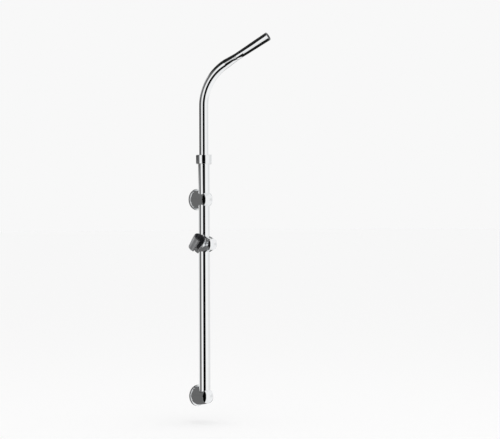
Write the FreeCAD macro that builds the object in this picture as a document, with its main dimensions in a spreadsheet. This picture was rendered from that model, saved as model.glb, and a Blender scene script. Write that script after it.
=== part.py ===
import FreeCAD, Part
import math
import os
import re

import Sketcher

# Shower slide rail: a round rail on two conical wall brackets, fed with water through the lower one.
# A swivelling bent arm telescopes out of the rail's top, and a clamping slider with a tilting
# hand-shower holder rides on the rail. The wall is the plane y = 0 and the front is -Y.

# Driving dimensions in millimetres and degrees. Heights are above the lower bracket's axis.
SIZES = {
    # Fits between pieces
    "snug": 0.1,
    "running_gap": 0.05,
    "free_gap": 0.3,
    "overcut": 2,
    # Rail tube
    "bracket_spacing": 472,
    "rail_offset": 28,
    "rail_od": 28,
    "rail_wall": 1.5,
    "rail_foot": 12,
    "rail_top": 568,
    "port_radius": 6,
    # Conical wall brackets, with reaches measured from the wall
    "rosette_radius": 25.5,
    "rosette_thick": 5,
    "rosette_edge": 1.5,
    "cone_base_radius": 22.8,
    "cone_front_radius": 16.8,
    "cone_reach": 40.3,
    "dome_rise": 8.2,
    # Water inlet in the lower bracket, a G 1/2 nipple
    "nipple_radius": 10.475,
    "nipple_projection": 14,
    "nipple_waist": 10.1,
    "nipple_bore": 6.5,
    "spigot_radius": 9,
    "spigot_depth": 7,
    "washer_radius": 12.4,
    "washer_thick": 1.2,
    "seal_section": 1.9,
    "seal_height": 9.5,
    # Wall base, split bush and set screws
    "base_radius": 22,
    "base_thick": 4,
    "boss_radius": 11,
    "boss_reach": 11.5,
    "fixing_spacing": 32,
    "fixing_radius": 2.6,
    "fixing_head_radius": 4.5,
    "bush_wall": 1,
    "bush_height": 22,
    "slit_width": 2,
    "set_screw_radius": 2.5,
    "set_screw_length": 3.4,
    "base_screw_length": 8,
    "base_screw_reach": 8.5,
    "key_radius": 1.4,
    "key_depth": 1.8,
    # Clamp collar at the rail's top
    "collar_foot": 557,
    "collar_height": 22,
    "collar_radius": 19,
    "collar_edge": 1.2,
    "sleeve_radius": 16.5,
    "collet_base_radius": 16.2,
    "collet_top_radius": 13.5,
    "collet_height": 6,
    "collet_slit": 1.2,
    "wiper_section": 1.7,
    "wiper_cover": 1.2,
    # Telescopic arm
    "arm_od": 22,
    "arm_wall": 1.5,
    "arm_foot": 422,
    "bend_start": 697,
    "bend_radius": 114,
    "bend_turn": 60,
    "arm_swivel": 30,
    "neck_length": 32,
    "neck_od": 17.5,
    "guide_height": 8,
    "guide_lift": 3,
    "stop_depth": 0.5,
    "stop_thick": 1,
    # Outlet piece at the arm's end
    "outlet_length": 92,
    "outlet_od": 21,
    "outlet_wall": 1.5,
    "outlet_spigot": 10,
    "outlet_bore": 5.5,
    "outlet_washer_thick": 0.8,
    "spray_thick": 2,
    "spray_recess": 1,
    "spray_ledge": 0.6,
    "spray_hole": 0.8,
    "spray_ring": 3.5,
    # Slider, with lengths measured from the rail's axis
    "slider_height": 365,
    "slider_back": 17,
    "slider_front": 24,
    "slider_base_radius": 23.5,
    "slider_front_radius": 15.8,
    "slider_edge": 2,
    "slider_side_arc": 85,
    "liner_wall": 1.5,
    "liner_height": 24,
    # Clamping knob
    "knob_base_radius": 15.5,
    "knob_front_radius": 13.8,
    "knob_gap": 0.4,
    "knob_rim": 7.4,
    "knob_rise": 5.7,
    "knob_edge": 0.8,
    "stem_radius": 3,
    "stem_grip": 8,
    "shoe_radius": 4.5,
    "shoe_thick": 2.6,
    "shoe_travel": 1,
    # Tilting hand-shower holder on the slider's left side
    "pivot_ahead": 15.5,
    "pivot_boss_radius": 6.5,
    "pivot_boss_reach": 21.2,
    "pivot_washer": 1,
    "holder_reach": 37.6,
    "holder_height": 35,
    "holder_rise": 4.5,
    "holder_lean": 43,
    "cup_top_radius": 15,
    "cup_foot_radius": 13.4,
    "socket_top_radius": 12.6,
    "socket_foot_radius": 11.2,
    "socket_liner": 1,
    "liner_rim": 1,
    "hose_slot": 15,
    "pivot_screw_radius": 2.5,
    "pivot_screw_end": 11.8,
    "pivot_head_radius": 4,
    "pivot_head_thick": 1.6,
}

doc = FreeCAD.newDocument("shower_slide_rail")
sheet = doc.addObject("Spreadsheet::Sheet", "sizes")
for row, (alias, number) in enumerate(SIZES.items(), start=1):
    sheet.set(f"A{row}", alias)
    sheet.set(f"B{row}", str(number))
    sheet.setAlias(f"B{row}", alias)
doc.recompute()

# The sub-parts that become files, by name
nodes = {}

# Turns of a piece's own Z axis on to the directions that the pieces point in
ALONG = {
    "up": FreeCAD.Rotation(),
    "front": FreeCAD.Rotation(FreeCAD.Vector(1, 0, 0), 90),
    "wall": FreeCAD.Rotation(FreeCAD.Vector(1, 0, 0), 270),
    "right": FreeCAD.Rotation(FreeCAD.Vector(0, 1, 0), 90),
    "left": FreeCAD.Rotation(FreeCAD.Vector(0, 1, 0), 270),
}


def formula(text):
    """An expression on the sheet's cells, for use by another object."""
    return re.sub(r"[a-z_]+", lambda word: f"sizes.{word[0]}" if word[0] in SIZES else word[0], text)


def measure(text):
    """The present value of an expression on the sheet's cells."""
    return float(sheet.evalExpression(text))


def bind(thing, **properties):
    """Ties properties of an object to expressions on the sheet."""
    for name, text in properties.items():
        thing.setExpression(name, formula(text))


def place(thing, x="0", y="0", z="0", along="up"):
    """Puts a piece's own origin at a point and points its Z axis along a direction."""
    thing.Placement = FreeCAD.Placement(FreeCAD.Vector(), ALONG[along])
    for axis, text in (("x", x), ("y", y), ("z", z)):
        if text != "0":
            thing.setExpression(f"Placement.Base.{axis}", formula(text))
    return thing


def lean(thing, axis, angle, y, z):
    """Puts a piece's own origin at a point beside the X axis and turns it about one of its axes."""
    thing.Placement = FreeCAD.Placement(FreeCAD.Vector(), FreeCAD.Rotation(axis, measure(angle)))
    bind(thing, **{"Placement.Rotation.Angle": angle, "Placement.Base.y": y, "Placement.Base.z": z})
    return thing


def primitive(kind, **sizes):
    """A cylinder, box, torus or prism whose sizes are expressions."""
    solid = doc.addObject(f"Part::{kind}", kind.lower())
    bind(solid, **sizes)
    return solid


def cylinder(radius, length, x="0", y="0", z="0", along="up"):
    """A cylinder from a point, along a direction."""
    return place(primitive("Cylinder", Radius=radius, Height=length), x, y, z, along)


def turned(profile):
    """A body of revolution about its own Z axis.

    The profile is a closed outline of (radius, height) corners, anticlockwise. A third entry makes
    the edge that leads to that corner an outward arc of that radius.
    """
    body = doc.addObject("PartDesign::Body", "turned")
    plane = next(item for item in body.Origin.OriginFeatures if item.Role == "XZ_Plane")
    sketch = body.newObject("Sketcher::SketchObject", "outline")
    sketch.AttachmentSupport = [(plane, "")]
    sketch.MapMode = "FlatFace"
    corners = [FreeCAD.Vector(measure(corner[0]), measure(corner[1]), 0) for corner in profile]
    count = len(profile)
    for index in range(count):
        start = corners[index]
        following = (index + 1) % count
        end = corners[following]
        if len(profile[following]) == 2:
            sketch.addGeometry(Part.LineSegment(start, end))
            continue
        radius = measure(profile[following][2])
        chord = end - start
        inward = FreeCAD.Vector(-chord.y, chord.x, 0).normalize()
        height = math.sqrt(max(radius ** 2 - (chord.Length / 2) ** 2, 0))
        centre = (start + end) * 0.5 + inward * height
        circle = Part.Circle(centre, FreeCAD.Vector(0, 0, 1), radius)
        sketch.addGeometry(Part.ArcOfCircle(circle, circle.parameter(start), circle.parameter(end)))
        number = sketch.addConstraint(Sketcher.Constraint("Radius", index, radius))
        sketch.setExpression(f"Constraints[{number}]", formula(profile[following][2]))
    for index in range(count):
        sketch.addConstraint(Sketcher.Constraint("Coincident", index, 2, (index + 1) % count, 1))
    for index, corner in enumerate(profile):
        at = corners[index]
        for kind, text, value in (("DistanceX", corner[0], at.x), ("DistanceY", corner[1], at.y)):
            number = sketch.addConstraint(Sketcher.Constraint(kind, -1, 1, index, 1, value))
            sketch.setExpression(f"Constraints[{number}]", formula(text))
    turn = body.newObject("PartDesign::Revolution", "turn")
    turn.Profile = sketch
    turn.ReferenceAxis = (sketch, ["V_Axis"])
    turn.Angle = 360
    body.Tip = turn
    return body


def joined(*solids):
    """One solid, or several fused."""
    if len(solids) == 1:
        return solids[0]
    union = doc.addObject("Part::MultiFuse", "joined")
    union.Shapes = list(solids)
    union.Refine = True
    return union


def cut(solid, *tools):
    """A solid with tools taken out of it."""
    rest = doc.addObject("Part::Cut", "cut")
    rest.Base = solid
    rest.Tool = joined(*tools)
    rest.Refine = True
    return rest


def node(name, solid):
    """Names a finished sub-part."""
    solid.Label = name
    nodes[name] = solid
    return solid


def ring(inner, outer, height):
    """A plain turned ring."""
    return turned([(inner, "0"), (outer, "0"), (outer, height), (inner, height)])


# Rail tube: stands in the lower bracket, passes the upper one, and has a water port at its foot
tube = cylinder("rail_od / 2", "rail_foot + rail_top", y="-rail_offset", z="-rail_foot")
tube_bore = cylinder(
    "rail_od / 2 - rail_wall", "rail_foot + rail_top + 2 * overcut",
    y="-rail_offset", z="-rail_foot - overcut",
)
tube_port = cylinder("port_radius", "rail_od", y="-rail_offset", along="wall")
node("rail_tube", cut(tube, tube_bore, tube_port))


def rosette(inner, height):
    """The round cover ring that lies against the wall, with a rounded front edge."""
    profile = [
        (inner, "0"),
        ("rosette_radius", "0"),
        ("rosette_radius", "rosette_thick - rosette_edge"),
        ("rosette_radius - rosette_edge", "rosette_thick", "rosette_edge"),
        (inner, "rosette_thick"),
    ]
    return place(turned(profile), z=height, along="front")


def bracket_cone(height):
    """The turned cone with its domed front, standing on the rosette."""
    dome_radius = "(cone_front_radius * cone_front_radius + dome_rise * dome_rise) / (2 * dome_rise)"
    profile = [
        ("0", "rosette_thick"),
        ("cone_base_radius", "rosette_thick"),
        ("cone_front_radius", "cone_reach"),
        ("0", "cone_reach + dome_rise", dome_radius),
    ]
    return place(turned(profile), z=height, along="front")


def set_screw(x, height, length):
    """A socket set screw in a bracket's right side, pointing at the rail."""
    shank = cylinder("set_screw_radius", length, x=x, y="-rail_offset", z=height, along="right")
    key = primitive("Prism", Circumradius="key_radius", Height="key_depth + overcut")
    key.Polygon = 6
    place(key, x=f"{x} + {length} - key_depth", y="-rail_offset", z=height, along="right")
    return cut(shank, key)


def set_screw_hole(height):
    """The hole that a bracket's set screw sits in."""
    return cylinder("set_screw_radius", "cone_base_radius", y="-rail_offset", z=height, along="right")


# Lower bracket: the rail's foot sits in a blind socket, and water comes in from the wall
foot_socket = cylinder(
    "rail_od / 2 + snug", "rail_foot + cone_base_radius", y="-rail_offset", z="-rail_foot",
)
seal_groove = cylinder(
    "rail_od / 2 + seal_section", "seal_section + 2 * snug",
    y="-rail_offset", z="seal_height - seal_section / 2 - snug",
)
spigot_hole = cylinder("spigot_radius", "spigot_depth", y="-rosette_thick", along="front")
water_way = cylinder("nipple_bore", "rail_offset - rosette_thick", y="-rosette_thick", along="front")
washer_seat = cylinder("washer_radius + snug", "washer_thick", y="-rosette_thick", along="front")
lower_screw_height = "-rail_foot / 2"
node("lower_bracket_body", cut(
    bracket_cone("0"), foot_socket, seal_groove, spigot_hole, water_way, washer_seat,
    set_screw_hole(lower_screw_height),
))
node("lower_rosette", rosette("nipple_radius + free_gap", "0"))
node("lower_set_screw", set_screw("rail_od / 2", lower_screw_height, "set_screw_length + bush_wall"))
node("lower_rail_seal", place(
    primitive("Torus", Radius1="rail_od / 2 + seal_section / 2", Radius2="seal_section / 2"),
    y="-rail_offset", z="seal_height",
))

# Inlet nipple: screwed into the bracket's back, its thread reaching into the wall
node("inlet_nipple", place(turned([
    ("nipple_bore", "0"),
    ("nipple_radius", "0"),
    ("nipple_radius", "nipple_projection"),
    ("nipple_waist", "nipple_projection"),
    ("nipple_waist", "nipple_projection + rosette_thick"),
    ("spigot_radius", "nipple_projection + rosette_thick"),
    ("spigot_radius", "nipple_projection + rosette_thick + spigot_depth"),
    ("nipple_bore", "nipple_projection + rosette_thick + spigot_depth"),
]), y="nipple_projection", along="front"))
node("inlet_washer", place(
    ring("spigot_radius", "washer_radius", "washer_thick"), y="-rosette_thick", along="front",
))

# Upper bracket: slides over the wall base's boss, and grips the rail in a split bush
wall_base = place(turned([
    ("0", "0"),
    ("base_radius", "0"),
    ("base_radius", "base_thick"),
    ("boss_radius", "base_thick"),
    ("boss_radius", "boss_reach"),
    ("0", "boss_reach"),
]), z="bracket_spacing", along="front")
fixing_tools = []
for side in ("-", "+"):
    across = f"{side}fixing_spacing / 2"
    fixing_tools.append(cylinder(
        "fixing_radius", "base_thick + 2 * overcut",
        x=across, y="overcut", z="bracket_spacing", along="front",
    ))
    countersink = primitive(
        "Cone", Radius1="fixing_radius", Radius2="fixing_head_radius",
        Height="fixing_head_radius - fixing_radius",
    )
    fixing_tools.append(place(
        countersink, x=across, y="-base_thick + fixing_head_radius - fixing_radius",
        z="bracket_spacing", along="front",
    ))
node("upper_wall_base", cut(wall_base, *fixing_tools))
node("upper_rosette", rosette("base_radius + snug", "bracket_spacing"))

rail_passage = cylinder(
    "rail_od / 2 + snug", "2 * rosette_radius",
    y="-rail_offset", z="bracket_spacing - rosette_radius",
)
bush_pocket = cylinder(
    "rail_od / 2 + bush_wall", "bush_height", y="-rail_offset", z="bracket_spacing - bush_height / 2",
)
boss_hole = cylinder(
    "boss_radius + snug", "boss_reach - rosette_thick + free_gap",
    y="-rosette_thick", z="bracket_spacing", along="front",
)
base_screw_hole = cylinder(
    "set_screw_radius", "cone_base_radius", y="-base_screw_reach", z="bracket_spacing - cone_base_radius",
)
node("upper_bracket_body", cut(
    bracket_cone("bracket_spacing"), rail_passage, bush_pocket, boss_hole, base_screw_hole,
    set_screw_hole("bracket_spacing"),
))
bush = cylinder(
    "rail_od / 2 + bush_wall", "bush_height", y="-rail_offset", z="bracket_spacing - bush_height / 2",
)
bush_bore = cylinder(
    "rail_od / 2", "bush_height", y="-rail_offset", z="bracket_spacing - bush_height / 2",
)
bush_slit = place(
    primitive("Box", Length="slit_width", Width="rail_od", Height="bush_height"),
    x="-slit_width / 2", y="-rail_offset", z="bracket_spacing - bush_height / 2",
)
node("upper_rail_bush", cut(bush, bush_bore, bush_slit))
node("upper_set_screw", set_screw("rail_od / 2 + bush_wall", "bracket_spacing", "set_screw_length"))

base_screw = cylinder(
    "set_screw_radius", "base_screw_length",
    y="-base_screw_reach", z="bracket_spacing - boss_radius - base_screw_length",
)
base_screw_key = primitive("Prism", Circumradius="key_radius", Height="key_depth + overcut")
base_screw_key.Polygon = 6
place(
    base_screw_key, y="-base_screw_reach",
    z="bracket_spacing - boss_radius - base_screw_length - overcut",
)
node("upper_base_screw", cut(base_screw, base_screw_key))

# Clamp collar: a nut on a threaded sleeve squeezes a slit collet on to the arm
node("rail_thread_sleeve", place(
    ring("rail_od / 2", "sleeve_radius", "rail_top - collar_foot"), y="-rail_offset", z="collar_foot",
))
collet = place(turned([
    ("arm_od / 2 + running_gap", "0"),
    ("collet_base_radius", "0"),
    ("collet_top_radius", "collet_height"),
    ("arm_od / 2 + running_gap", "collet_height"),
]), y="-rail_offset", z="rail_top")
collet_slits = []
for length, width in (("collet_slit", "3 * sleeve_radius"), ("3 * sleeve_radius", "collet_slit")):
    collet_slits.append(place(
        primitive("Box", Length=length, Width=width, Height="collet_height"),
        x=f"-{length} / 2", y=f"-rail_offset - {width} / 2", z="rail_top + collet_height / 3",
    ))
node("collet_ring", cut(collet, *collet_slits))

nut_seat = "rail_top - collar_foot + free_gap"
wiper_top = "collar_height - wiper_cover"
wiper_foot = "collar_height - wiper_cover - wiper_section - 2 * snug"
lip_radius = "arm_od / 2 + free_gap"
wiper_groove = "arm_od / 2 + free_gap + wiper_section"
node("collar_nut", place(turned([
    ("sleeve_radius + snug", "0"),
    ("collar_radius - collar_edge", "0"),
    ("collar_radius", "collar_edge", "collar_edge"),
    ("collar_radius", "collar_height - collar_edge"),
    ("collar_radius - collar_edge", "collar_height", "collar_edge"),
    (lip_radius, "collar_height"),
    (lip_radius, wiper_top),
    (wiper_groove, wiper_top),
    (wiper_groove, wiper_foot),
    (lip_radius, wiper_foot),
    (lip_radius, f"{nut_seat} + collet_height"),
    ("collet_top_radius + free_gap", f"{nut_seat} + collet_height"),
    ("sleeve_radius + snug", nut_seat),
]), y="-rail_offset", z="collar_foot"))
node("collar_wiper_ring", place(
    primitive("Torus", Radius1="arm_od / 2 + snug + wiper_section / 2", Radius2="wiper_section / 2"),
    y="-rail_offset", z="collar_foot + collar_height - wiper_cover - snug - wiper_section / 2",
))

# Arm guide: two rings and a seal that slide in the rail with the arm's foot
guide_inner = "arm_od / 2 + running_gap"
guide_outer = "rail_od / 2 - rail_wall - running_gap"
seal_room = "rail_od / 2 - rail_wall - arm_od / 2"
upper_guide = f"arm_foot + guide_lift + guide_height + {seal_room}"
node("arm_guide_lower", place(
    ring(guide_inner, guide_outer, "guide_height"), y="-rail_offset", z="arm_foot + guide_lift",
))
node("arm_guide_seal", place(
    primitive(
        "Torus", Radius1="(rail_od / 2 - rail_wall + arm_od / 2) / 2",
        Radius2=f"({seal_room}) / 2 - running_gap",
    ),
    y="-rail_offset", z=f"arm_foot + guide_lift + guide_height + ({seal_room}) / 2",
))
node("arm_guide_upper", place(
    ring(guide_inner, guide_outer, "guide_height"), y="-rail_offset", z=upper_guide,
))

# Stop rings: snapped into grooves in the arm's foot, under and over the guide
lower_stop = "arm_foot + guide_lift - snug - stop_thick"
upper_stop = f"{upper_guide} + guide_height + snug"
for name, height in (("arm_stop_lower", lower_stop), ("arm_stop_upper", upper_stop)):
    node(name, place(
        ring("arm_od / 2 - stop_depth", "rail_od / 2 - rail_wall - free_gap", "stop_thick"),
        y="-rail_offset", z=height,
    ))

# Bent arm: straight stem, bend and a tapered neck. It is drawn bending to the front, then swivelled.
bend_y = "-bend_radius * (1 - cos(bend_turn))"
bend_z = "bend_start + bend_radius * sin(bend_turn)"


def along_outlet(thing, distance):
    """Puts a piece on the arm's slanting end, at a distance past the bend."""
    return lean(
        thing, FreeCAD.Vector(1, 0, 0), "bend_turn",
        f"{bend_y} - ({distance}) * sin(bend_turn)", f"{bend_z} + ({distance}) * cos(bend_turn)",
    )


def swivelled(thing):
    """Turns a finished arm piece about the rail's axis, out from the wall."""
    return lean(thing, FreeCAD.Vector(0, 0, 1), "arm_swivel", "-rail_offset", "0")


def arm_solid(stem_radius, neck_radius):
    """The arm's stem, bend and neck as one solid of a given radius."""
    stem = cylinder(stem_radius, "bend_start - arm_foot", z="arm_foot")
    bend = primitive("Torus", Radius1="bend_radius", Radius2=stem_radius, Angle3="bend_turn")
    bend.Placement = FreeCAD.Placement(
        FreeCAD.Vector(), FreeCAD.Rotation(FreeCAD.Vector(1, 1, 1), 120),
    )
    bind(bend, **{"Placement.Base.y": "-bend_radius", "Placement.Base.z": "bend_start"})
    neck = along_outlet(
        primitive("Cone", Radius1=stem_radius, Radius2=neck_radius, Height="neck_length"), "0",
    )
    return joined(stem, bend, neck)


stop_grooves = []
for height in (lower_stop, upper_stop):
    stop_grooves.append(place(
        ring("arm_od / 2 - stop_depth", "arm_od", "stop_thick"), z=height,
    ))
node("arm_tube", swivelled(cut(
    arm_solid("arm_od / 2", "neck_od / 2"),
    arm_solid("arm_od / 2 - arm_wall", "neck_od / 2 - arm_wall"),
    *stop_grooves,
)))

# Outlet piece: a slim flared shell whose spigot plugs into the arm's neck on a seal washer
spigot_radius = "neck_od / 2 - arm_wall"
outlet_start = "neck_length - outlet_spigot"
shoulder = "outlet_spigot + outlet_washer_thick"
outlet_end = "outlet_spigot + outlet_length"
spray_seat = f"{outlet_end} - spray_recess - spray_thick"
shell = along_outlet(turned([
    ("0", "0"),
    (spigot_radius, "0"),
    (spigot_radius, shoulder),
    ("neck_od / 2", shoulder),
    ("outlet_od / 2", outlet_end),
    ("0", outlet_end),
]), outlet_start)
shell_inside = along_outlet(turned([
    ("0", "0"),
    ("outlet_bore", "0"),
    ("outlet_bore", f"{shoulder} + outlet_wall"),
    ("outlet_od / 2 - outlet_wall - spray_ledge", spray_seat),
    ("outlet_od / 2 - outlet_wall", spray_seat),
    ("outlet_od / 2 - outlet_wall", outlet_end),
    ("0", outlet_end),
]), outlet_start)
node("outlet_cone", swivelled(cut(shell, shell_inside)))
washer = along_outlet(
    primitive("Cylinder", Radius="neck_od / 2", Height="outlet_washer_thick"), "neck_length",
)
washer_hole = along_outlet(
    primitive("Cylinder", Radius=spigot_radius, Height="outlet_washer_thick"), "neck_length",
)
node("outlet_washer", swivelled(cut(washer, washer_hole)))

# Spray disc: recessed in the outlet's mouth, with jets in a middle hole and two rings
disc = along_outlet(
    primitive("Cylinder", Radius="outlet_od / 2 - outlet_wall", Height="spray_thick"),
    f"{outlet_start} + {spray_seat}",
)
jets = [cylinder("spray_hole", "spray_thick")]
for ring_number, jet_count in ((1, 6), (2, 12)):
    for jet in range(jet_count):
        angle = 360 * jet / jet_count
        jets.append(cylinder(
            "spray_hole", "spray_thick",
            x=f"{ring_number} * spray_ring * cos({angle})", y=f"{ring_number} * spray_ring * sin({angle})",
        ))
node("spray_disc", swivelled(cut(disc, along_outlet(joined(*jets), f"{outlet_start} + {spray_seat}"))))

# Slider: a turned cone with swelling sides round the rail, on a split liner that the brake shoe squeezes
liner_inner = "rail_od / 2 + running_gap"
liner_outer = "rail_od / 2 + running_gap + liner_wall"
liner_foot = "slider_height - liner_height / 2"
liner = place(ring(liner_inner, liner_outer, "liner_height"), y="-rail_offset", z=liner_foot)
liner_slit = place(
    primitive("Box", Length="slit_width", Width="rail_od", Height="liner_height"),
    x="-slit_width / 2", y="-rail_offset", z=liner_foot,
)
node("slider_liner", cut(liner, liner_slit))

slider_length = "slider_back + slider_front"
slider_cone = place(turned([
    ("0", "0"),
    ("slider_base_radius - slider_edge", "0"),
    ("slider_base_radius", "slider_edge", "slider_edge"),
    ("slider_front_radius", slider_length, "slider_side_arc"),
    ("0", slider_length),
]), y="slider_back - rail_offset", z="slider_height", along="front")
pivot_y = "-rail_offset - pivot_ahead"
pivot_boss = cylinder(
    "pivot_boss_radius", "pivot_boss_reach - pivot_screw_end",
    x="-pivot_screw_end", y=pivot_y, z="slider_height", along="left",
)
slider_passage = cylinder(
    "rail_od / 2 + free_gap", "2 * slider_base_radius + 2 * overcut",
    y="-rail_offset", z="slider_height - slider_base_radius - overcut",
)
liner_pocket = cylinder(
    f"{liner_outer} + running_gap", "liner_height + 2 * snug",
    y="-rail_offset", z=f"{liner_foot} - snug",
)
shoe_start = f"{liner_outer} + free_gap"
shoe_hole = cylinder(
    "shoe_radius + snug", f"{shoe_start} + shoe_thick + shoe_travel + free_gap",
    y="-rail_offset", z="slider_height", along="front",
)
stem_hole = cylinder(
    "stem_radius + running_gap", "slider_front + overcut",
    y="-rail_offset", z="slider_height", along="front",
)
pivot_hole = cylinder(
    "pivot_screw_radius", "pivot_boss_reach", x="-pivot_screw_end", y=pivot_y, z="slider_height",
    along="left",
)
node("slider_body", cut(
    joined(slider_cone, pivot_boss), slider_passage, liner_pocket, shoe_hole, stem_hole, pivot_hole,
))

# Clamp: the knob's stem pushes the brake shoe against the liner
node("brake_shoe", cylinder(
    "shoe_radius", "shoe_thick",
    y=f"-rail_offset - ({shoe_start})", z="slider_height", along="front",
))
knob_foot = "slider_front + knob_gap"
node("knob_stem", cylinder(
    "stem_radius", f"{knob_foot} + stem_grip - ({shoe_start}) - shoe_thick",
    y=f"-rail_offset - ({shoe_start}) - shoe_thick", z="slider_height", along="front",
))
knob_dome = "(knob_front_radius * knob_front_radius + knob_rise * knob_rise) / (2 * knob_rise)"
node("clamp_knob", place(turned([
    ("stem_radius", "0"),
    ("knob_base_radius - knob_edge", "0"),
    ("knob_base_radius", "knob_edge", "knob_edge"),
    ("knob_front_radius", "knob_rim"),
    ("0", "knob_rim + knob_rise", knob_dome),
    ("0", "stem_grip"),
    ("stem_radius", "stem_grip"),
]), y=f"-rail_offset - ({knob_foot})", z="slider_height", along="front"))

# Hand-shower holder: a slotted conical cup that tilts on a pivot screw
node("holder_friction_washer", place(
    ring("pivot_screw_radius", "pivot_boss_radius", "pivot_washer"),
    x="-pivot_boss_reach", y=pivot_y, z="slider_height", along="left",
))
cup_face = "pivot_boss_reach + pivot_washer + snug"
holder_foot = "holder_rise - holder_height / 2"
socket_taper = "(socket_top_radius - socket_foot_radius) / holder_height"
head_end = f"holder_reach - socket_foot_radius - (pivot_head_radius - ({holder_foot})) * {socket_taper} - snug"
screw_shank = cylinder(
    "pivot_screw_radius", f"{head_end} - pivot_screw_end",
    x="-pivot_screw_end", y=pivot_y, z="slider_height", along="left",
)
screw_head = cylinder(
    "pivot_head_radius", "pivot_head_thick",
    x=f"pivot_head_thick - ({head_end})", y=pivot_y, z="slider_height", along="left",
)
screw_key = primitive("Prism", Circumradius="key_radius", Height="key_depth")
screw_key.Polygon = 6
place(screw_key, x=f"key_depth - ({head_end})", y=pivot_y, z="slider_height", along="left")
node("holder_pivot_screw", cut(joined(screw_shank, screw_head), screw_key))


def cone_solid(foot_radius, top_radius):
    """A straight cone of the holder's height about its own axis, the pivot at its origin."""
    return place(turned([
        ("0", "0"),
        (foot_radius, "0"),
        (top_radius, "holder_height"),
        ("0", "holder_height"),
    ]), z=holder_foot)


def hose_slot_tool():
    """The slot in the holder's front that lets the hose in."""
    return place(
        primitive("Box", Length="hose_slot", Width="2 * cup_top_radius", Height="2 * holder_height"),
        x="-hose_slot / 2", y="-2 * cup_top_radius", z="-holder_height",
    )


def tilted(thing):
    """Puts a finished holder piece on its pivot, leaning to the front."""
    thing.Placement = FreeCAD.Placement(
        FreeCAD.Vector(), FreeCAD.Rotation(FreeCAD.Vector(1, 0, 0), measure("holder_lean")),
    )
    bind(thing, **{
        "Placement.Rotation.Angle": "holder_lean", "Placement.Base.x": "-holder_reach",
        "Placement.Base.y": pivot_y, "Placement.Base.z": "slider_height",
    })
    return thing


cup_boss = cylinder(
    "pivot_boss_radius", f"holder_reach - ({cup_face}) - socket_foot_radius / 2",
    x="socket_foot_radius / 2", along="right",
)
head_room = cylinder(
    "pivot_head_radius + free_gap", f"holder_reach - ({head_end}) + pivot_head_thick + free_gap",
    along="right",
)
shank_hole = cylinder("pivot_screw_radius + running_gap", "holder_reach", along="right")
node("holder_cup", tilted(cut(
    joined(cone_solid("cup_foot_radius", "cup_top_radius"), cup_boss),
    cone_solid("socket_foot_radius", "socket_top_radius"), hose_slot_tool(), head_room, shank_hole,
)))
insert = place(turned([
    ("socket_foot_radius - socket_liner", "0"),
    ("socket_foot_radius", "0"),
    ("socket_top_radius", "holder_height"),
    ("cup_top_radius - liner_rim", "holder_height"),
    ("cup_top_radius - liner_rim", "holder_height + liner_rim"),
    ("socket_top_radius - socket_liner", "holder_height + liner_rim"),
]), z=holder_foot)
node("holder_insert", tilted(cut(insert, hose_slot_tool())))

doc.recompute()

# Every object has to be sound before any file is written
for thing in doc.Objects:
    if "Invalid" in thing.State or "Error" in thing.State:
        raise RuntimeError(f"{thing.Name} ({thing.Label}) failed to build")
for name, solid in nodes.items():
    if solid.Shape.isNull() or not solid.Shape.isValid() or not solid.Shape.Solids:
        raise RuntimeError(f"{name} has no sound shape")

os.makedirs("parts", exist_ok=True)
for name, solid in nodes.items():
    solid.Shape.exportStep(f"parts/{name}.step")
    box = solid.Shape.BoundBox
    print(f"{name}: {len(solid.Shape.Solids)} solid, {solid.Shape.Volume:.0f} mm3, "
          f"x {box.XMin:.1f} {box.XMax:.1f}, y {box.YMin:.1f} {box.YMax:.1f}, z {box.ZMin:.1f} {box.ZMax:.1f}")
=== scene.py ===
import math

import bmesh
import bpy
from mathutils import Matrix, Quaternion, Vector


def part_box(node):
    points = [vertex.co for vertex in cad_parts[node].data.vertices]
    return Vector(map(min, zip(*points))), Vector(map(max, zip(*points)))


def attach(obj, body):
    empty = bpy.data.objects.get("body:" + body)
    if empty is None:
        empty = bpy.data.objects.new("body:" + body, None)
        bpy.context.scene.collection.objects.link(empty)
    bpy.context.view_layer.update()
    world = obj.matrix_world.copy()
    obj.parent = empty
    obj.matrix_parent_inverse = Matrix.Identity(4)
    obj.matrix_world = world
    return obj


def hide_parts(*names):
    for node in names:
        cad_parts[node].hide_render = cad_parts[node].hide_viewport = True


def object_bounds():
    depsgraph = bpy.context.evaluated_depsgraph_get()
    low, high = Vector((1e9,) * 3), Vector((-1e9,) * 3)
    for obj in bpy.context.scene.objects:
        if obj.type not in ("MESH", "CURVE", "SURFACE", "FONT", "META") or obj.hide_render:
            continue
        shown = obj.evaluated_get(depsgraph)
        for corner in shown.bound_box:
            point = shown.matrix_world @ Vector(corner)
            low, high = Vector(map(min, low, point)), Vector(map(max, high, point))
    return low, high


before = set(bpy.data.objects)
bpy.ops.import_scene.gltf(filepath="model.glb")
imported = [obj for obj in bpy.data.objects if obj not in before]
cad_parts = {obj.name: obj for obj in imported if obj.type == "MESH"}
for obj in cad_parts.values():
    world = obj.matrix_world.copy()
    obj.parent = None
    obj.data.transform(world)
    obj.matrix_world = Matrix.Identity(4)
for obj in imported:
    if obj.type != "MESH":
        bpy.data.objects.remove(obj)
cad_low, cad_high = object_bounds()


# Rail tube: drawn brass tube, polished and plated with bright chrome to a mirror, and held by two brackets.
# Buffing leaves marks round the tube that are too fine to see singly.
# They are drawn 1.5 mm wide and only soften the reflections a little.
mm = 0.001


def linear(colour):
    """Linear red, green, blue and alpha of an sRGB hex colour."""
    channels = [int(colour[at:at + 2], 16) / 255 for at in (1, 3, 5)]
    return [c / 12.92 if c <= 0.04045 else ((c + 0.055) / 1.055) ** 2.4 for c in channels] + [1.0]


def add(tree, kind, settings=None, inputs=None):
    """A node with its settings, whose inputs are values or sockets to link."""
    made = tree.nodes.new(kind)
    for name, value in (settings or {}).items():
        setattr(made, name, value)
    for name, value in (inputs or {}).items():
        if isinstance(value, bpy.types.NodeSocket):
            tree.links.new(value, made.inputs[name])
        else:
            made.inputs[name].default_value = value
    return made


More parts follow.
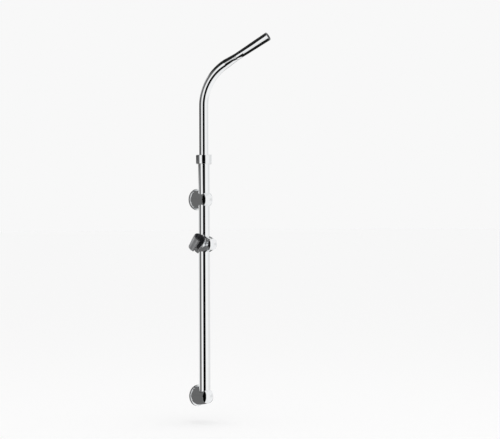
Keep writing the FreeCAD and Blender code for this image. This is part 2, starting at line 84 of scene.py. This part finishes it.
def finish(name, dark, light, grain_mm, roughness, metallic):
    """A finish whose colour and roughness vary with a grain of given real sizes along X, Y and Z."""
    material = bpy.data.materials.new(name)
    material.use_nodes = True
    tree = material.node_tree
    shader = tree.nodes["Principled BSDF"]
    place = add(tree, "ShaderNodeTexCoord").outputs["Object"]
    sized = add(tree, "ShaderNodeMapping", None, {
        "Vector": place, "Scale": [1 / (size * mm) for size in grain_mm],
    })
    grain = add(tree, "ShaderNodeTexNoise", None, {
        "Vector": sized.outputs["Vector"], "Scale": 1.0, "Detail": 3.0, "Roughness": 0.55,
    })
    tint = add(tree, "ShaderNodeMix", {"data_type": "RGBA"}, {
        "Factor": grain.outputs["Fac"], "A": linear(dark), "B": linear(light),
    })
    smoothest, roughest = roughness
    spread = add(tree, "ShaderNodeMapRange", None, {
        "Value": grain.outputs["Fac"], "From Min": 0.3, "From Max": 0.7,
        "To Min": smoothest, "To Max": roughest,
    })
    tree.links.new(tint.outputs["Result"], shader.inputs["Base Color"])
    tree.links.new(spread.outputs["Result"], shader.inputs["Roughness"])
    shader.inputs["Metallic"].default_value = metallic
    return material


def wear(material, *names):
    """Gives CAD nodes a finish."""
    for name in names:
        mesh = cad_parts[name].data
        mesh.materials.clear()
        mesh.materials.append(material)


buffed_tube = finish(
    "bright_chrome_on_drawn_tube", "#eceeef", "#f3f4f5",
    grain_mm=(25, 25, 1.5), roughness=(0.02, 0.05), metallic=1.0,
)
wear(buffed_tube, "rail_tube")


# Lower bracket: a brass cone turned in one piece with its domed front, drilled for the rail and plated.
# A separate plated rosette lies between it and the wall.
# Both are polished to a mirror, which hardly shows the lathe's faint rings.
turned_chrome = finish(
    "bright_chrome_on_turned_brass", "#e9ebec", "#f1f2f3",
    grain_mm=(7, 1.2, 7), roughness=(0.02, 0.06), metallic=1.0,
)
wear(turned_chrome, "lower_bracket_body", "lower_rosette")


# Lower set screw: a stainless steel screw with a hexagon socket that holds the rail's foot in the bracket.
# It is machined and not polished, so it has a fine satin grain.
machined_steel = finish(
    "machined_stainless_steel", "#8f9091", "#c2c2c0",
    grain_mm=(0.9, 0.9, 0.9), roughness=(0.2, 0.36), metallic=1.0,
)
wear(machined_steel, "lower_set_screw")


# Seals of the water way: an O-ring round the rail's foot and a flat washer at the nipple.
# Both are moulded black EPDM rubber, dull and slightly mottled.
rubber = finish(
    "moulded_black_rubber", "#141414", "#242424",
    grain_mm=(1.5, 1.5, 1.5), roughness=(0.6, 0.78), metallic=0.0,
)
wear(rubber, "lower_rail_seal", "inlet_washer")


# Inlet nipple: turned brass with a half-inch pipe thread that screws into the wall's elbow.
# The thread is cut with 14 turns to the inch, and its first turn is chamfered so that it starts.
# The brass is bare and not polished, so it has a soft yellow shine with fine tool marks.
turned_brass = finish(
    "turned_brass", "#a98445", "#c9a765",
    grain_mm=(1.6, 0.8, 1.6), roughness=(0.2, 0.36), metallic=1.0,
)
nipple_low, nipple_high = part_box("inlet_nipple")
nipple_length = nipple_high.y - nipple_low.y
nipple_bore = 6.5 * mm
waist_radius = 10.1 * mm
spigot_radius = 9 * mm
rosette_front = -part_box("lower_rosette")[0].y
thread_length = nipple_high.y
thread_radius = (nipple_high.x - nipple_low.x) / 2
inch = 25.4 * mm
turns_per_inch = 14
thread_pitch = inch / turns_per_inch
depth_per_pitch = 0.64
thread_depth = depth_per_pitch * thread_pitch
flank_slope = 1.3
flank_drop = 0.15
rows_per_turn = 10
columns = 72


def thread_at(depth, share):
    """Radius of the flat-crested thread at a depth from its outer end and a share of one turn."""
    phase = (depth / thread_pitch - share) % 1
    ridge = 1 - abs(2 * phase - 1)
    flattened_ridge = min(1, max(0, flank_slope * ridge - flank_drop))
    root = thread_radius - thread_depth
    chamfered = root + depth
    return min(chamfered, root + thread_depth * flattened_ridge)


def put(name, data):
    """A new object of the scene."""
    made = bpy.data.objects.new(name, data)
    bpy.context.scene.collection.objects.link(made)
    return made


thread_rows = int(thread_length / thread_pitch * rows_per_turn)
nipple_outline = [(0.0, nipple_bore)]
nipple_outline += [(thread_length * row / thread_rows, None) for row in range(thread_rows + 1)]
nipple_outline += [
    (thread_length, waist_radius), (thread_length + rosette_front, waist_radius),
    (thread_length + rosette_front, spigot_radius), (nipple_length, spigot_radius),
    (nipple_length, nipple_bore),
]
nipple_builder = bmesh.new()
nipple_loops = []
for depth, radius in nipple_outline:
    loop = []
    for column in range(columns):
        share = column / columns
        reach = thread_at(depth, share) if radius is None else radius
        angle = 2 * math.pi * share
        loop.append(nipple_builder.verts.new((
            reach * math.cos(angle), nipple_high.y - depth, reach * math.sin(angle),
        )))
    nipple_loops.append(loop)
for near, far in zip(nipple_loops, nipple_loops[1:] + nipple_loops[:1]):
    for column in range(columns):
        following = (column + 1) % columns
        nipple_builder.faces.new((near[column], near[following], far[following], far[column]))
bmesh.ops.recalc_face_normals(nipple_builder, faces=nipple_builder.faces)
nipple_mesh = bpy.data.meshes.new("threaded_nipple")
nipple_builder.to_mesh(nipple_mesh)
nipple_builder.free()
nipple_mesh.materials.append(turned_brass)
nipple = put("threaded_nipple", nipple_mesh)
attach(nipple, "rail")
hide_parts("inlet_nipple")


# Upper bracket: the same plated cone and rosette, over a stainless steel base that is screwed to the wall.
# Two socket set screws hold the cone on the base and the rail in the cone, with a split bush between.
# The bush is moulded of natural nylon, off-white with a low sheen.
nylon = finish(
    "natural_nylon", "#d9d7ce", "#e8e6df",
    grain_mm=(2, 2, 2), roughness=(0.4, 0.52), metallic=0.0,
)
wear(turned_chrome, "upper_bracket_body", "upper_rosette")
wear(machined_steel, "upper_wall_base", "upper_set_screw", "upper_base_screw")
wear(nylon, "upper_rail_bush")


# Clamp collar: a plated nut on a brass thread sleeve squeezes a slit nylon collet on to the arm.
# A rubber ring in the nut's top wipes the arm.
wear(turned_brass, "rail_thread_sleeve")
wear(nylon, "collet_ring")
wear(turned_chrome, "collar_nut")
wear(rubber, "collar_wiper_ring")


# Bent arm: drawn brass tube, bent, necked at its end and plated like the rail.
# At its foot two nylon rings and a rubber seal guide it in the rail, between two steel stop rings.
wear(buffed_tube, "arm_tube")
wear(nylon, "arm_guide_lower", "arm_guide_upper")
wear(rubber, "arm_guide_seal")
wear(machined_steel, "arm_stop_lower", "arm_stop_upper")


# Outlet piece: a slim flared shell, plated, plugged into the arm's neck on a rubber washer.
# A disc moulded of acetal closes its mouth, dark grey with an even half gloss.
dark_acetal = finish(
    "moulded_dark_grey_acetal", "#232426", "#323336",
    grain_mm=(1.2, 1.2, 1.2), roughness=(0.34, 0.46), metallic=0.0,
)
wear(buffed_tube, "outlet_cone")
wear(rubber, "outlet_washer")
wear(dark_acetal, "spray_disc")


# Spray nozzles: soft cones of matt grey silicone, moulded into the disc's holes.
# One stands in the middle, with two rings round it, the outer one twice as wide.
# They stick out a little, so that lime can be rubbed off them.
silicone = finish(
    "moulded_grey_silicone", "#5d5f61", "#6c6e70",
    grain_mm=(0.8, 0.8, 0.8), roughness=(0.5, 0.62), metallic=0.0,
)
nozzle_sizes = {
    "Ring Spacing": 3.5 * mm, "Foot Radius": 0.76 * mm, "Tip Radius": 0.5 * mm, "Height": 2.6 * mm,
}
inner_nozzles = 6
outer_nozzles = 12
nozzle_sides = 16
nozzle_tree = bpy.data.node_groups.new("spray_nozzles", "GeometryNodeTree")
sockets = nozzle_tree.interface
sockets.new_socket("Geometry", in_out="OUTPUT", socket_type="NodeSocketGeometry")
nozzle_inputs = {}
for name in nozzle_sizes:
    nozzle_inputs[name] = sockets.new_socket(name, in_out="INPUT", socket_type="NodeSocketFloat")
given = add(nozzle_tree, "NodeGroupInput")
middle_point = add(nozzle_tree, "GeometryNodeMeshLine", None, {"Count": 1})
inner_ring = add(nozzle_tree, "GeometryNodeMeshCircle", None, {
    "Vertices": inner_nozzles, "Radius": given.outputs["Ring Spacing"],
})
doubled = add(nozzle_tree, "ShaderNodeMath", {"operation": "MULTIPLY"}, {
    0: given.outputs["Ring Spacing"], 1: 2.0,
})
outer_ring = add(nozzle_tree, "GeometryNodeMeshCircle", None, {
    "Vertices": outer_nozzles, "Radius": doubled.outputs["Value"],
})
all_points = add(nozzle_tree, "GeometryNodeJoinGeometry")
for source in (middle_point, inner_ring, outer_ring):
    nozzle_tree.links.new(source.outputs["Mesh"], all_points.inputs["Geometry"])
nozzle_cone = add(nozzle_tree, "GeometryNodeMeshCone", None, {
    "Vertices": nozzle_sides, "Depth": given.outputs["Height"],
    "Radius Top": given.outputs["Tip Radius"], "Radius Bottom": given.outputs["Foot Radius"],
})
placed = add(nozzle_tree, "GeometryNodeInstanceOnPoints", None, {
    "Points": all_points.outputs["Geometry"], "Instance": nozzle_cone.outputs["Mesh"],
})
real = add(nozzle_tree, "GeometryNodeRealizeInstances", None, {"Geometry": placed.outputs["Instances"]})
painted = add(nozzle_tree, "GeometryNodeSetMaterial", None, {
    "Geometry": real.outputs["Geometry"], "Material": silicone,
})
add(nozzle_tree, "NodeGroupOutput", None, {"Geometry": painted.outputs["Geometry"]})

nozzle_maker = put("nozzle_maker", bpy.data.meshes.new("nozzle_maker"))
repeat = nozzle_maker.modifiers.new("nozzles", "NODES")
repeat.node_group = nozzle_tree
for name, size in nozzle_sizes.items():
    repeat[nozzle_inputs[name].identifier] = size
evaluated = nozzle_maker.evaluated_get(bpy.context.evaluated_depsgraph_get())
nozzle_mesh = bpy.data.meshes.new_from_object(evaluated)
bpy.data.objects.remove(nozzle_maker)


def middle(name):
    """Centre of a CAD node's box."""
    low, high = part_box(name)
    return (low + high) / 2


disc_middle = middle("spray_disc")
disc_thickness = 2 * mm
outlet_way = (disc_middle - middle("outlet_washer")).normalized()
outlet_swivel = math.atan2(outlet_way.x, -outlet_way.y)
outlet_turn = math.acos(outlet_way.z)
nozzle_mesh.transform(
    Matrix.Translation(disc_middle - outlet_way * disc_thickness / 2)
    @ Matrix.Rotation(outlet_swivel, 4, "Z") @ Matrix.Rotation(outlet_turn, 4, "X")
)
nozzles = put("spray_nozzles", nozzle_mesh)
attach(nozzles, "arm")


# Slider: a plated turned cone on a split nylon liner that runs on the rail.
# The domed knob turns a steel stem, which presses a nylon shoe against the liner and so holds the height.
wear(turned_chrome, "slider_body", "clamp_knob")
wear(nylon, "slider_liner", "brake_shoe")
wear(machined_steel, "knob_stem")


# Hand-shower holder: a slotted brass cup with a moulded dark insert that keeps the handle from rattling.
# It is plated over a fine blasted grain, which spreads the reflections to an even grey.
# It tilts on a steel pivot screw, and a plastic washer gives the friction that holds its angle.
satin_chrome = finish(
    "satin_chrome_on_turned_brass", "#ebecee", "#f2f3f4",
    grain_mm=(1.5, 1.5, 1.5), roughness=(0.3, 0.38), metallic=1.0,
)
wear(satin_chrome, "holder_cup")
wear(dark_acetal, "holder_insert", "holder_friction_washer")
wear(machined_steel, "holder_pivot_screw")


# Studio floor: a wide sheet of matt white paint a little below the object, which keeps the object's shadow.
# Reflections pass through it, so that the chrome shows the screens below the horizon as well.
floor_half_width = 60
floor_gap = 40 * mm
floor_mesh = bpy.data.meshes.new("floor")
floor_builder = bmesh.new()
bmesh.ops.create_grid(floor_builder, x_segments=1, y_segments=1, size=floor_half_width)
bmesh.ops.translate(floor_builder, verts=floor_builder.verts, vec=(0, 0, cad_low.z - floor_gap))
floor_builder.to_mesh(floor_mesh)
floor_builder.free()
floor = put("floor", floor_mesh)
floor_paint = bpy.data.materials.new("pale_floor_paint")
floor_paint.use_nodes = True
floor_tree = floor_paint.node_tree
floor_tree.nodes.clear()
floor_rays = add(floor_tree, "ShaderNodeLightPath")
matt_floor = add(floor_tree, "ShaderNodeBsdfDiffuse", None, {"Color": linear("#fefefe")})
open_floor = add(floor_tree, "ShaderNodeBsdfTransparent")
seen_floor = add(floor_tree, "ShaderNodeMixShader", None, {
    0: floor_rays.outputs["Is Glossy Ray"], 1: matt_floor.outputs["BSDF"], 2: open_floor.outputs["BSDF"],
})
add(floor_tree, "ShaderNodeOutputMaterial", None, {"Surface": seen_floor.outputs["Shader"]})
floor_mesh.materials.append(floor_paint)


# Studio surround: a pale backdrop, with white, grey and black screens all round that only reflections see.
# The screens give the chrome its streaks. Bearings are 0 degrees behind the camera and grow to the right.
# The screens change with the height above or below the horizon, given as the sine of the elevation.
photo_azimuth = math.radians(-40)
backdrop_colour = "#f8f8f8"
world = bpy.data.worlds.new("studio")
bpy.context.scene.world = world
world.use_nodes = True
sky = world.node_tree
sky.nodes.clear()
direction = add(sky, "ShaderNodeTexCoord").outputs["Generated"]
turned = add(sky, "ShaderNodeVectorRotate", {"rotation_type": "Z_AXIS"}, {
    "Vector": direction, "Angle": -photo_azimuth,
})
turned_xyz = add(sky, "ShaderNodeSeparateXYZ", None, {"Vector": turned.outputs["Vector"]})
forward = add(sky, "ShaderNodeMath", {"operation": "MULTIPLY"}, {0: turned_xyz.outputs["Y"], 1: -1.0})
bearing = add(sky, "ShaderNodeMath", {"operation": "ARCTAN2"}, {
    0: turned_xyz.outputs["X"], 1: forward.outputs["Value"],
})
around = add(sky, "ShaderNodeMapRange", None, {
    "Value": bearing.outputs["Value"], "From Min": -math.pi, "From Max": math.pi,
})
height = turned_xyz.outputs["Z"]
height_or_depth = add(sky, "ShaderNodeMath", {"operation": "ABSOLUTE"}, {0: height}).outputs["Value"]


def screens(levels):
    """Brightness round the object, from (bearing in degrees, level) stops."""
    ramp = add(sky, "ShaderNodeValToRGB", None, {"Fac": around.outputs["Result"]})
    stops = ramp.color_ramp.elements
    while len(stops) < len(levels):
        stops.new(0.5)
    for stop, (degrees, level) in zip(stops, levels):
        stop.position = (degrees + 180) / 360
        stop.color = (level, level, level, 1)
    return ramp.outputs["Color"]


level_screens = screens((
    (-180, 0.9), (-112, 0.9), (-104, 0.15), (-64, 0.15), (-58, 1.0), (-27, 1.0), (-22, 0.0), (20, 0.0),
    (25, 1.0), (70, 1.0), (90, 0.85), (130, 0.85), (150, 1.0), (180, 0.9),
))
stem_screens = screens((
    (-180, 0.02), (-120, 0.02), (-108, 0.1), (-76, 0.15), (-60, 1.0), (-32, 1.0), (-27, 0.0), (20, 0.0),
    (25, 1.0), (70, 1.0), (90, 0.85), (130, 0.85), (150, 1.0), (170, 1.0), (180, 0.02),
))
raised_screens = screens((
    (-180, 0.02), (-120, 0.02), (-108, 0.1), (-76, 0.15), (-60, 1.0), (-27, 1.0), (-22, 0.0), (20, 0.0),
    (25, 1.0), (70, 1.0), (90, 0.85), (130, 0.85), (150, 1.0), (170, 1.0), (180, 0.02),
))
rear_screens = screens((
    (-180, 0.15), (-156, 0.15), (-150, 0.9), (-128, 0.9), (-122, 0.15), (-54, 0.15), (-46, 1.0), (-25, 1.0),
    (-20, 0.0), (21, 0.0), (26, 1.0), (148, 1.0), (162, 0.15), (180, 0.15),
))
lofty_screens = screens((
    (-180, 0.15), (-54, 0.15), (-46, 1.0), (-25, 1.0), (-20, 0.0), (21, 0.0), (26, 1.0), (148, 1.0),
    (162, 0.15), (180, 0.15),
))
steep_screens = screens((
    (-180, 0.15), (-60, 0.15), (-44, 0.0), (17, 0.0), (26, 0.95), (148, 0.95), (162, 0.15), (180, 0.15),
))
reflected = level_screens
for rise, start, end, further_screens in (
    (height, 0.015, 0.035, stem_screens),
    (height, 0.07, 0.08, raised_screens),
    (height_or_depth, 0.1, 0.25, rear_screens),
    (height_or_depth, 0.45, 0.5, lofty_screens),
    (height_or_depth, 0.76, 0.82, steep_screens),
):
    change = add(sky, "ShaderNodeMapRange", None, {"Value": rise, "From Min": start, "From Max": end})
    reflected = add(sky, "ShaderNodeMix", {"data_type": "RGBA"}, {
        "Factor": change.outputs["Result"], "A": reflected, "B": further_screens,
    }).outputs["Result"]
rays = add(sky, "ShaderNodeLightPath")
backdrop = add(sky, "ShaderNodeMix", {"data_type": "RGBA"}, {
    "Factor": rays.outputs["Is Glossy Ray"], "A": linear(backdrop_colour), "B": reflected,
})
surround_light = add(sky, "ShaderNodeBackground", None, {
    "Color": backdrop.outputs["Result"], "Strength": 1.0,
})
add(sky, "ShaderNodeOutputWorld", None, {"Surface": surround_light.outputs["Background"]})


# Studio boards: black felt and white card close to the outlet, which only reflections see.
# They draw the black lines and white bands along the bend and the outlet, which distant screens can't.
# The outlines are in metres to the right of the rail's axis and ahead of it, towards the camera.
rail_axis = Vector((0, -28 * mm, 0))
back = Vector((math.sin(photo_azimuth), -math.cos(photo_azimuth), 0))
right = Vector((math.cos(photo_azimuth), math.sin(photo_azimuth), 0))
card_brightness = 0.9
black_felt = finish(
    "black_felt", "#050505", "#080808",
    grain_mm=(2, 2, 2), roughness=(0.9, 1.0), metallic=0.0,
)
white_card = bpy.data.materials.new("white_card")
white_card.use_nodes = True
card_tree = white_card.node_tree
card_tree.nodes.clear()
card_glow = add(card_tree, "ShaderNodeEmission", None, {
    "Color": linear("#ffffff"), "Strength": card_brightness,
})
add(card_tree, "ShaderNodeOutputMaterial", None, {"Surface": card_glow.outputs["Emission"]})


def board(name, facing, corners):
    """A board that only reflections see, from corners to the right, ahead and up from the rail's axis."""
    mesh = bpy.data.meshes.new(name)
    points = [
        rail_axis + right * across + back * ahead + Vector((0, 0, up)) for across, ahead, up in corners
    ]
    mesh.from_pydata(points, [], [range(len(points))])
    mesh.materials.append(facing)
    made = put(name, mesh)
    made.visible_camera = False
    made.visible_diffuse = False
    made.visible_shadow = False


board_height = 0.74
backing_height = 0.738
felt_outline = (
    (0.088, 0.092), (0.160, 0.152), (0.270, 0.152), (0.270, -0.340), (0.176, -0.340),
    (0.153, -0.166), (0.127, -0.024), (0.113, 0.026), (0.088, 0.062),
)
card_outline = (
    (0.000, 0.226), (0.064, 0.137), (0.090, 0.098), (0.098, 0.100), (0.160, 0.152),
    (0.200, 0.200), (0.200, 0.300), (0.000, 0.300),
)
card_underside = ((0.000, 0.226), (0.064, 0.137), (0.097, 0.300), (0.000, 0.300))
for name, facing, outline, board_level in (
    ("felt_under_outlet", black_felt, felt_outline, board_height),
    ("card_under_felt", white_card, felt_outline, backing_height),
    ("card_ahead_of_outlet", white_card, card_outline, board_height),
    ("felt_under_card", black_felt, card_underside, backing_height),
):
    board(name, facing, [corner + (board_level,) for corner in outline])
upright_across = -0.12
upright_rear = -0.25
upright_front = 0.32
upright_foot = 0.86
upright_top = 1.25
board("felt_left_of_outlet", black_felt, (
    (upright_across, upright_rear, upright_foot), (upright_across, upright_front, upright_foot),
    (upright_across, upright_front, upright_top), (upright_across, upright_rear, upright_top),
))


# Studio lamp: one large soft box overhead, in front and to the left, for the shadow on the floor.
# Reflections don't see it, so that it leaves no glare on the chrome.
lamp_width = 1.2
lamp_watts = 4
lamp_place = Vector((-0.5, -0.9, 2.6))
lamp_target = Vector((0, 0, 0.3))
lamp_data = bpy.data.lights.new("soft_lamp", "AREA")
lamp_data.size = lamp_width
lamp_data.energy = lamp_watts
lamp = put("soft_lamp", lamp_data)
lamp.location = lamp_place
lamp.rotation_euler = (lamp_target - lamp_place).to_track_quat("-Z", "Y").to_euler()
lamp.visible_glossy = False


# Camera: level with the object's middle, ahead of it and 40 degrees to its left, with a slight roll.
# Its lens is worked out so that a pixel spans 2.4 mm at the rail, and its aim lies to the right of the rail.
pixel_m = 2.4 * mm
image_width_px = 500
centre_right_px = 45.8
centre_height_m = 0.4237
camera_distance = 4.2
camera_roll = math.radians(-0.2)
sensor_mm = 36
view_depth = 100
aim = rail_axis + right * (centre_right_px * pixel_m) + Vector((0, 0, centre_height_m))
level_look = (-back).to_track_quat("-Z", "Y")
camera_data = bpy.data.cameras.new("camera")
camera_data.sensor_width = sensor_mm
camera_data.lens = sensor_mm * camera_distance / (image_width_px * pixel_m)
camera_data.clip_end = view_depth
camera = put("camera", camera_data)
camera.location = aim + back * camera_distance
camera.rotation_euler = (level_look @ Quaternion((0, 0, 1), camera_roll)).to_euler()
bpy.context.scene.camera = camera
bpy.context.scene.view_settings.view_transform = "Standard"
